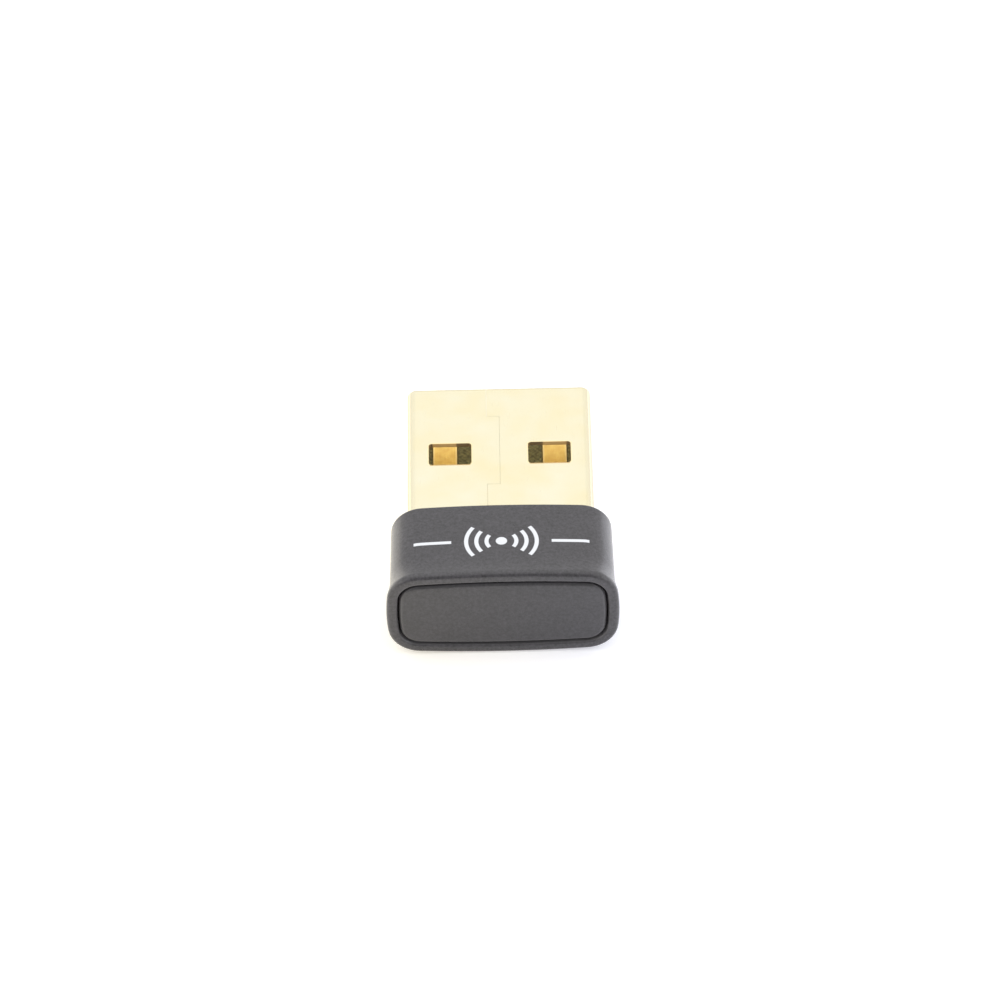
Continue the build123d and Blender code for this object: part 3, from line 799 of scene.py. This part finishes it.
def plugFinish():
    # pale gold plating: faint rolling marks along the axis, soft clouds and a few fine scratches, browner
    # bare metal on the stamped walls of the windows, and painted light and shade on the folds and round the
    # windows
    skin = Finish("goldPlating")
    rolling = skin.noise(plating["rolling"], plating["rollingDetail"], plating["rollingStretch"])
    cloud = skin.noise(plating["cloud"], plating["cloudDetail"])
    scratch = skin.noise(plating["scratch"], plating["scratchDetail"], plating["scratchStretch"])
    scratch = skin.step(scratch, *plating["scratchEdge"])
    deep = skin.spread(cloud, plating["cloudContrast"]) * plating["cloudShare"]
    deep = (deep + scratch * plating["scratchShare"]).clamped()
    shade = skin.blend(deep, plating["colour"], plating["deep"])
    away = roundedDistance(abs(skin.x) - plug["windowPitch"] / 2, skin.y - plug["windowCentre"],
                           plug["windowHalf"], plug["windowCorner"])
    # the stamped edge is rolled over a little further on the side that faces the housing
    near = 1 - skin.step(skin.y, plug["windowCentre"] - plug["windowHalf"][1], plating["rolledSoft"])
    wall = 1 - skin.step(away - near * plating["rolledReach"], *plating["wallEdge"])
    # beside a contact, the wall is lit by the light that the contact sends back
    contactMiddle, contactHalf = nodeSpan("power_contact")
    beside = abs(abs(skin.x) - abs(contactMiddle[0]))
    lit = 1 - skin.step(beside, contactHalf[0], plating["litSoft"])
    # painted highlight: a paler ring round each window, standing in for the light that its rounded edge
    # catches
    halo = (1 - skin.step(away, *plating["haloEdge"])) * plating["haloShare"]
    # painted light and shade: the plating is painted paler where the folds begin, to lift their dim
    # reflection, and darker on the sides, to dull their bright reflection
    shade = skin.blend(skin.step(abs(skin.x), *plating["drawnEdge"]), shade, plating["drawn"])
    shade = skin.blend(skin.step(abs(skin.x), *plating["foldEdge"]), shade, plating["folded"])
    middle = plug["sheet"] / 2
    depth = roundedDistance(skin.x, skin.z, (plug["halfWidth"] - middle, plug["halfHeight"] - middle),
                            plug["corner"] - middle)
    shade = skin.blend(skin.step(depth, *plating["innerEdge"]), plating["inner"], shade)
    bare = skin.blend(lit, plating["wall"], plating["litWall"])
    bare = skin.blend(near, bare, plating["rolled"])
    shade = skin.blend(wall, skin.blend(halo, shade, plating["halo"]), bare)
    gloss = plating["rough"] + rolling * plating["rollingRough"] + scratch * plating["scratchRough"]
    gloss = gloss + wall * plating["wallRough"]
    metal = 1 - wall * (lit * plating["litDull"] + plating["wallDull"])
    relief = skin.bump(rolling - scratch * plating["scratchDepth"], plating["rollingDepth"])
    return skin.finish(baseColor=shade, metallic=metal, roughness=gloss, normal=relief)


points, faces = makePlug()
plugPiece = makePiece("plugSheet", points, faces, plugFinish(), outward=False)
wall = plugPiece.modifiers.new("sheetThickness", "SOLIDIFY")
wall.thickness = plug["sheet"] * millimetre
wall.offset = -1.0
wall.use_even_offset = True
edges = plugPiece.modifiers.new("stampedEdges", "BEVEL")
edges.width = plug["edgeBevel"] * millimetre
edges.segments = plug["bevelSegments"]
edges.limit_method = "ANGLE"
edges.angle_limit = math.radians(plug["bevelAngle"])
edges.harden_normals = True
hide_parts("plug_shell")
print("stage 5: plug shell")

# finishes of the board and what is on it
slotOf = {part["node"]: part["material_slot"] for part in frame["record"]["subparts"]}
contactNames = [name for name, slot in slotOf.items() if slot == "contact_gold"]
contact = {
    # the edge colour is a painted highlight along the contact's long edges
    "colour": (0.90, 0.72, 0.31), "worn": (0.80, 0.57, 0.23), "edge": (0.97, 0.82, 0.50),
    "rubbed": 0.12, "rubbedStretch": (1.0, 6.0, 1.0), "rubbedShare": 0.4, "rubbedDepth": 0.002,
    "patch": 0.45, "patchShare": 0.6, "detail": 3.0, "contrast": 2.6, "edgeWidth": 0.10,
    "edgeSoft": 0.06, "edgeShare": 0.7, "rough": 0.22, "roughSpread": 0.2, "corner": 0.15,
}


def contactFinish(name):
    # gold plating rubbed along the axis by sockets, with a painted highlight: paler along its long edges,
    # where they round over
    middle, half = nodeSpan(name)
    skin = Finish(name + "Plating")
    rubbed = skin.noise(contact["rubbed"], contact["detail"], contact["rubbedStretch"])
    patch = skin.noise(contact["patch"], contact["detail"])
    # painted highlight: a paler band along each long edge
    border = skin.step(abs(skin.x - middle[0]), half[0] - contact["edgeWidth"], contact["edgeSoft"])
    worn = rubbed * contact["rubbedShare"] + patch * contact["patchShare"]
    shade = skin.blend(skin.spread(worn, contact["contrast"]), contact["colour"], contact["worn"])
    shade = skin.blend(border * contact["edgeShare"], shade, contact["edge"])
    rough = contact["rough"] + patch * contact["roughSpread"]
    return skin.finish(baseColor=shade, metallic=1.0, roughness=rough,
                       normal=skin.bump(rubbed, contact["rubbedDepth"]))


board = {
    "mask": (0.34, 0.25, 0.12), "dark": (0.19, 0.19, 0.11), "copper": (0.62, 0.61, 0.30),
    "laminate": (0.50, 0.44, 0.20), "ply": (0.36, 0.30, 0.12), "middleZ": -0.3, "maskedZ": 0.285,
    "maskedSoft": 0.01, "weave": 0.34, "plyPitch": 0.1, "plyShare": 0.35, "clearance": 0.09,
    "clearanceSoft": 0.03, "trackPitch": 0.42, "trackHalf": 0.07, "trackEnd": 3.3, "trackSoft": 0.02,
    "cloud": 0.27, "cloudDetail": 3.0, "cloudGrit": 0.6, "copperShare": 0.9, "cloudShare": 0.85,
    "weaveShare": 0.07, "paler": 0.085, "contrast": 2.8, "cutRough": 0.62, "maskGloss": 0.3,
    "roughSpread": 0.1, "specular": 0.3, "copperHeight": 0.6, "grainHeight": 0.1, "relief": 0.008,
}


def boardFinish(name):
    # Solder mask over a copper pour, with a gap round each contact, thin tracks on the inner part and the
    # glass weave showing through. The cut sides show the bare plies.
    skin = Finish(name + "Mask")
    cloud = skin.noise(board["cloud"], board["cloudDetail"], roughness=board["cloudGrit"])
    weave = skin.x.sine(board["weave"]) * skin.y.sine(board["weave"])
    away = None
    for contactName in contactNames:
        middle, half = nodeSpan(contactName)
        reach = roundedDistance(skin.x - middle[0], skin.y - middle[1], half, contact["corner"])
        away = reach if away is None else away.least(reach)
    poured = skin.step(away, board["clearance"], board["clearanceSoft"])
    wander = skin.x.maths("PINGPONG", skin.x, board["trackPitch"] / 2)
    track = 1 - skin.step(wander, board["trackHalf"], board["trackSoft"])
    inward = 1 - skin.step(skin.y, board["trackEnd"], board["trackSoft"])
    poured = poured * (1 - inward * (1 - track))
    shade = skin.blend(poured * board["copperShare"], board["mask"], board["copper"])
    glass = cloud * board["cloudShare"] + weave * board["weaveShare"] + board["paler"]
    shade = skin.blend(skin.spread(glass, board["contrast"]), board["dark"], shade)
    plies = skin.z.sine(board["plyPitch"]) * board["plyShare"] + cloud
    cut = skin.blend(plies.clamped(), board["ply"], board["laminate"])
    masked = skin.step(abs(skin.z - board["middleZ"]), board["maskedZ"], board["maskedSoft"])
    rough = board["cutRough"] - masked * board["maskGloss"] + cloud * board["roughSpread"]
    grain = cloud * board["grainHeight"] + weave * board["grainHeight"]
    relief = skin.bump(poured * board["copperHeight"] + grain, board["relief"])
    return skin.finish(baseColor=skin.blend(masked, cut, shade), roughness=rough,
                       specularIORLevel=board["specular"], normal=relief)


aerial = {"dark": (0.30, 0.27, 0.08), "pale": (0.44, 0.38, 0.13), "ripple": 0.15, "contrast": 2.0,
          "metallic": 0.3, "rough": 0.3, "roughSpread": 0.15, "depth": 0.004}


def copperFinish(name):
    # copper under a thin solder mask, with the mask's small ripples
    skin = Finish(name + "Copper")
    ripple = skin.noise(aerial["ripple"])
    shade = skin.blend(skin.spread(ripple, aerial["contrast"]), aerial["dark"], aerial["pale"])
    return skin.finish(baseColor=shade, metallic=aerial["metallic"],
                       roughness=aerial["rough"] + ripple * aerial["roughSpread"],
                       normal=skin.bump(ripple, aerial["depth"]))


carrier = {"colour": (0.02, 0.02, 0.021), "pitDepth": 0.006, "contrast": 1.2}


def carrierFinish(name):
    # the same plastic in black, with a shallower and more even texture
    skin, shade, rough, normal = mouldedPlastic(name + "Plastic", carrier["colour"], carrier["pitDepth"],
                                                carrier["contrast"])
    return skin.finish(baseColor=shade, roughness=rough, normal=normal)


solder = {"colour": (0.80, 0.79, 0.77), "dull": (0.58, 0.58, 0.58), "grain": 0.07, "contrast": 1.8,
          "rough": 0.32, "roughSpread": 0.2, "depth": 0.003}
# the components' bodies: two colours, the size and detail of the grain between them, and roughness
fired = {"grain": 0.09, "detail": 3.0, "contrast": 2.0, "rough": 0.4, "roughSpread": 0.2}
bodies = {
    "chip_moulding": {"dark": (0.012, 0.012, 0.013), "pale": (0.05, 0.05, 0.052), "grain": 0.06,
                      "detail": 2.0, "contrast": 3.0, "rough": 0.35, "roughSpread": 0.3},
    "crystal_metal": {"dark": (0.05, 0.035, 0.028), "pale": (0.12, 0.09, 0.07), "grain": 0.08,
                      "detail": 2.0, "contrast": 2.0, "rough": 0.45, "roughSpread": 0.2},
    "capacitor_ceramic": {"dark": (0.36, 0.24, 0.13), "pale": (0.52, 0.38, 0.23), **fired},
    "resistor_ceramic": {"dark": (0.015, 0.015, 0.018), "pale": (0.05, 0.05, 0.055), **fired},
    "ferrite": {"dark": (0.035, 0.034, 0.036), "pale": (0.09, 0.088, 0.09), **fired},
}


def solderedPart(name, skin, metal):
    # a component's body where metal is 0, and tinned metal with a frosted grain where it is 1
    body = bodies[slotOf[name]]
    grain = skin.noise(body["grain"], body["detail"])
    shade = skin.blend(skin.spread(grain, body["contrast"]), body["dark"], body["pale"])
    rough = grain * body["roughSpread"] + body["rough"]
    frost = skin.noise(solder["grain"])
    tin = skin.blend(skin.spread(frost, solder["contrast"]), solder["dull"], solder["colour"])
    tinRough = solder["rough"] + frost * solder["roughSpread"]
    return skin.finish(baseColor=skin.blend(metal, shade, tin), metallic=metal,
                       roughness=metal * (tinRough - rough) + rough,
                       normal=skin.bump(frost, solder["depth"]))


# the flat packages' terminals are this thick, and the leaded packages' bodies this wide; the chip
# components' metal ends take up this share of their length
package = {"terminal": 0.03, "terminalSoft": 0.002, "leadedBody": 1.25, "end": 0.25, "lid": 0.2,
           "soft": 0.004}


def chipFinish(name):
    # black moulding with its filler's fine speckle, and tinned terminals or leads
    middle, half = nodeSpan(name)
    skin = Finish(name + "Moulding")
    if name in ("radio_chip", "memory_chip"):
        metal = skin.step(skin.z, middle[2] + half[2] - package["terminal"], package["terminalSoft"])
    else:
        across = skin.x if half[0] > half[1] else skin.y
        centre = middle[0] if half[0] > half[1] else middle[1]
        metal = skin.step(abs(across - centre), package["leadedBody"] / 2, package["soft"])
    return solderedPart(name, skin, metal)


def endedFinish(name):
    # a fired ceramic block between two tinned ends
    middle, half = nodeSpan(name)
    skin = Finish(name + "Ceramic")
    axis = 0 if half[0] > half[1] else 1
    along = (skin.x, skin.y)[axis]
    metal = skin.step(abs(along - middle[axis]), half[axis] * (1 - 2 * package["end"]), package["soft"])
    return solderedPart(name, skin, metal)


def crystalFinish(name):
    # a dark fired tray under a rolled metal lid
    middle, half = nodeSpan(name)
    skin = Finish(name + "Can")
    lid = 1 - skin.step(skin.z, middle[2] - half[2] + package["lid"], package["soft"])
    return solderedPart(name, skin, lid)


makers = {"contact_gold": contactFinish, "board_laminate": boardFinish, "board_copper": copperFinish,
          "carrier_plastic": carrierFinish, "chip_moulding": chipFinish, "crystal_metal": crystalFinish,
          "capacitor_ceramic": endedFinish, "resistor_ceramic": endedFinish, "ferrite": endedFinish}
for name, node in frame["nodes"].items():
    if slotOf[name] in makers:
        node.data.materials.clear()
        node.data.materials.append(makers[slotOf[name]](name))
print("stage 6: finishes of the board and its components")
